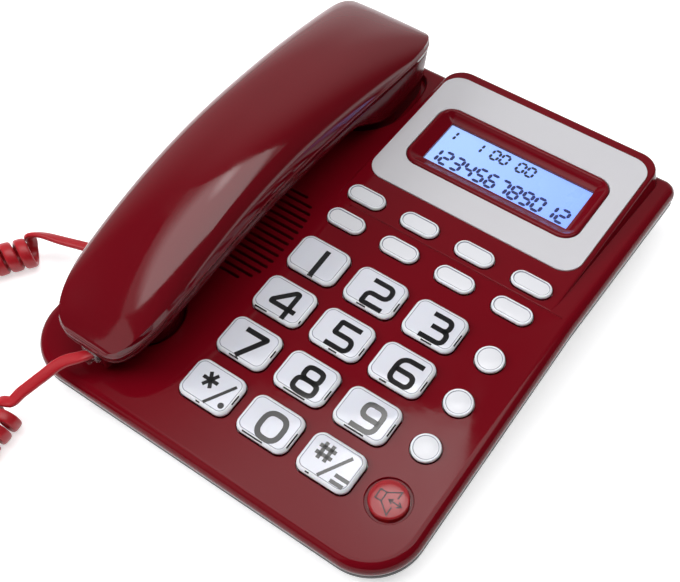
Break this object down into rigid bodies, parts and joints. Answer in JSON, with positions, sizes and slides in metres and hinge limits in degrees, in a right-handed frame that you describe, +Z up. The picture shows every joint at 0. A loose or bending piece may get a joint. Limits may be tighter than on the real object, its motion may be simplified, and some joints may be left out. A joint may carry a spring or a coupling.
{
  "type": "corded desk telephone",
  "caption": "Corded desk telephone: sloped base with big press keys, a caller display block, a cradled handset on the left and a curly cord.",
  "frame": {"origin": "middle of the base, on the surface that it stands on", "axes": "+X to the right of someone using the telephone, +Y to the rear, +Z up"},
  "size_m": [0.2455, 0.3136, 0.0693],
  "materials": {
    "base_red": "high gloss moulded plastic",
    "tub_grey": "fine matt texture",
    "rubber_black": "matt",
    "steel": "plain",
    "battery_skin": "satin sleeve",
    "fascia_silver": "satin silver",
    "lens_clear": "clear",
    "lcd_blue": "backlit display glass",
    "board_green": "lacquered board",
    "inner_black": "matt",
    "key_white": "clear cap over white",
    "button_red": "translucent",
    "plug_clear": "clear plug body",
    "cord_red": "soft gloss"
  },
  "bodies": {
    "base": {"base_top_shell": "base_red", "base_bottom_shell": "tub_grey", "rubber_feet": "rubber_black", "base_screws": "steel", "batteries": "battery_skin", "battery_contacts": "steel", "display_fascia": "fascia_silver", "lcd_bezel": "base_red", "lcd_lens": "lens_clear", "lcd_module": "lcd_blue", "main_circuit_board": "board_green", "display_board": "board_green", "keypad_mat": "rubber_black", "function_mat": "rubber_black", "base_loudspeaker": "inner_black", "base_microphone": "steel", "hook_spring": "steel", "hook_switch": "inner_black", "line_jack": "inner_black", "handset_cord_jack": "inner_black", "base_plug": "plug_clear", "cord_tail_handset": "cord_red", "cord_curls": "cord_red", "cord_tail_base": "cord_red"},
    "handset": {"handset_top_shell": "base_red", "handset_bottom_shell": "base_red", "earpiece_receiver": "inner_black", "handset_microphone": "steel", "handset_screws": "steel", "handset_jack": "inner_black", "handset_weight": "steel", "handset_plug": "plug_clear"},
    "hook_button": {"hook_button": "base_red"},
    "battery_door": {"battery_door": "tub_grey"},
    "key_1": {"key_1": "key_white"},
    "key_2": {"key_2": "key_white"},
    "key_3": {"key_3": "key_white"},
    "key_4": {"key_4": "key_white"},
    "key_5": {"key_5": "key_white"},
    "key_6": {"key_6": "key_white"},
    "key_7": {"key_7": "key_white"},
    "key_8": {"key_8": "key_white"},
    "key_9": {"key_9": "key_white"},
    "key_star": {"key_star": "key_white"},
    "key_0": {"key_0": "key_white"},
    "key_hash": {"key_hash": "key_white"},
    "oval_button_1": {"oval_button_1": "key_white"},
    "oval_button_2": {"oval_button_2": "key_white"},
    "oval_button_3": {"oval_button_3": "key_white"},
    "oval_button_4": {"oval_button_4": "key_white"},
    "oval_button_5": {"oval_button_5": "key_white"},
    "oval_button_6": {"oval_button_6": "key_white"},
    "oval_button_7": {"oval_button_7": "key_white"},
    "oval_button_8": {"oval_button_8": "key_white"},
    "round_button_1": {"round_button_1": "key_white"},
    "round_button_2": {"round_button_2": "key_white"},
    "round_button_3": {"round_button_3": "key_white"},
    "speaker_button": {"speaker_button": "button_red"}
  },
  "joints": [
    {"name": "key_1_press", "type": "slide", "parent": "base", "child": "key_1", "axis": [0, 0.1253, -0.9921], "range_m": [0, 0.0015], "stiffness_N_per_m": 400, "springref_m": -0.0005},
    {"name": "key_2_press", "type": "slide", "parent": "base", "child": "key_2", "axis": [0, 0.1253, -0.9921], "range_m": [0, 0.0015], "stiffness_N_per_m": 400, "springref_m": -0.0005},
    {"name": "key_3_press", "type": "slide", "parent": "base", "child": "key_3", "axis": [0, 0.1253, -0.9921], "range_m": [0, 0.0015], "stiffness_N_per_m": 400, "springref_m": -0.0005},
    {"name": "key_4_press", "type": "slide", "parent": "base", "child": "key_4", "axis": [0, 0.1253, -0.9921], "range_m": [0, 0.0015], "stiffness_N_per_m": 400, "springref_m": -0.0005},
    {"name": "key_5_press", "type": "slide", "parent": "base", "child": "key_5", "axis": [0, 0.1253, -0.9921], "range_m": [0, 0.0015], "stiffness_N_per_m": 400, "springref_m": -0.0005},
    {"name": "key_6_press", "type": "slide", "parent": "base", "child": "key_6", "axis": [0, 0.1253, -0.9921], "range_m": [0, 0.0015], "stiffness_N_per_m": 400, "springref_m": -0.0005},
    {"name": "key_7_press", "type": "slide", "parent": "base", "child": "key_7", "axis": [0, 0.1253, -0.9921], "range_m": [0, 0.0015], "stiffness_N_per_m": 400, "springref_m": -0.0005},
    {"name": "key_8_press", "type": "slide", "parent": "base", "child": "key_8", "axis": [0, 0.1253, -0.9921], "range_m": [0, 0.0015], "stiffness_N_per_m": 400, "springref_m": -0.0005},
    {"name": "key_9_press", "type": "slide", "parent": "base", "child": "key_9", "axis": [0, 0.1253, -0.9921], "range_m": [0, 0.0015], "stiffness_N_per_m": 400, "springref_m": -0.0005},
    {"name": "key_star_press", "type": "slide", "parent": "base", "child": "key_star", "axis": [0, 0.1253, -0.9921], "range_m": [0, 0.0015], "stiffness_N_per_m": 400, "springref_m": -0.0005},
    {"name": "key_0_press", "type": "slide", "parent": "base", "child": "key_0", "axis": [0, 0.1253, -0.9921], "range_m": [0, 0.0015], "stiffness_N_per_m": 400, "springref_m": -0.0005},
    {"name": "key_hash_press", "type": "slide", "parent": "base", "child": "key_hash", "axis": [0, 0.1253, -0.9921], "range_m": [0, 0.0015], "stiffness_N_per_m": 400, "springref_m": -0.0005},
    {"name": "oval_button_1_press", "type": "slide", "parent": "base", "child": "oval_button_1", "axis": [0, 0.0471, -0.9989], "range_m": [0, 0.0015], "stiffness_N_per_m": 400, "springref_m": -0.0005},
    {"name": "oval_button_2_press", "type": "slide", "parent": "base", "child": "oval_button_2", "axis": [0, 0.0471, -0.9989], "range_m": [0, 0.0015], "stiffness_N_per_m": 400, "springref_m": -0.0005},
    {"name": "oval_button_3_press", "type": "slide", "parent": "base", "child": "oval_button_3", "axis": [0, 0.0471, -0.9989], "range_m": [0, 0.0015], "stiffness_N_per_m": 400, "springref_m": -0.0005},
    {"name": "oval_button_4_press", "type": "slide", "parent": "base", "child": "oval_button_4", "axis": [0, 0.0471, -0.9989], "range_m": [0, 0.0015], "stiffness_N_per_m": 400, "springref_m": -0.0005},
    {"name": "oval_button_5_press", "type": "slide", "parent": "base", "child": "oval_button_5", "axis": [0, 0.1253, -0.9921], "range_m": [0, 0.0015], "stiffness_N_per_m": 400, "springref_m": -0.0005},
    {"name": "oval_button_6_press", "type": "slide", "parent": "base", "child": "oval_button_6", "axis": [0, 0.1253, -0.9921], "range_m": [0, 0.0015], "stiffness_N_per_m": 400, "springref_m": -0.0005},
    {"name": "oval_button_7_press", "type": "slide", "parent": "base", "child": "oval_button_7", "axis": [0, 0.1253, -0.9921], "range_m": [0, 0.0015], "stiffness_N_per_m": 400, "springref_m": -0.0005},
    {"name": "oval_button_8_press", "type": "slide", "parent": "base", "child": "oval_button_8", "axis": [0, 0.1253, -0.9921], "range_m": [0, 0.0015], "stiffness_N_per_m": 400, "springref_m": -0.0005},
    {"name": "round_button_1_press", "type": "slide", "parent": "base", "child": "round_button_1", "axis": [0, 0.1253, -0.9921], "range_m": [0, 0.0015], "stiffness_N_per_m": 400, "springref_m": -0.0005},
    {"name": "round_button_2_press", "type": "slide", "parent": "base", "child": "round_button_2", "axis": [0, 0.1253, -0.9921], "range_m": [0, 0.0015], "stiffness_N_per_m": 400, "springref_m": -0.0005},
    {"name": "round_button_3_press", "type": "slide", "parent": "base", "child": "round_button_3", "axis": [0, 0.1253, -0.9921], "range_m": [0, 0.0015], "stiffness_N_per_m": 400, "springref_m": -0.0005},
    {"name": "speaker_button_press", "type": "slide", "parent": "base", "child": "speaker_button", "axis": [0, 0.1253, -0.9921], "range_m": [0, 0.0015], "stiffness_N_per_m": 400, "springref_m": -0.0005},
    {"name": "handset_lift", "type": "slide", "parent": "base", "child": "handset", "axis": [0, 0, 1], "range_m": [0, 0.08]},
    {"name": "hook_rise", "type": "slide", "parent": "base", "child": "hook_button", "axis": [0, 0, 1], "range_m": [0, 0.004], "deforming": ["hook_spring"]},
    {"name": "battery_door_slide", "type": "slide", "parent": "base", "child": "battery_door", "axis": [0, 1, 0], "range_m": [0, 0.03]}
  ],
  "couplings": [
    {"joint": "hook_rise", "follows": "handset_lift", "ratio": 0.05}
  ]
}
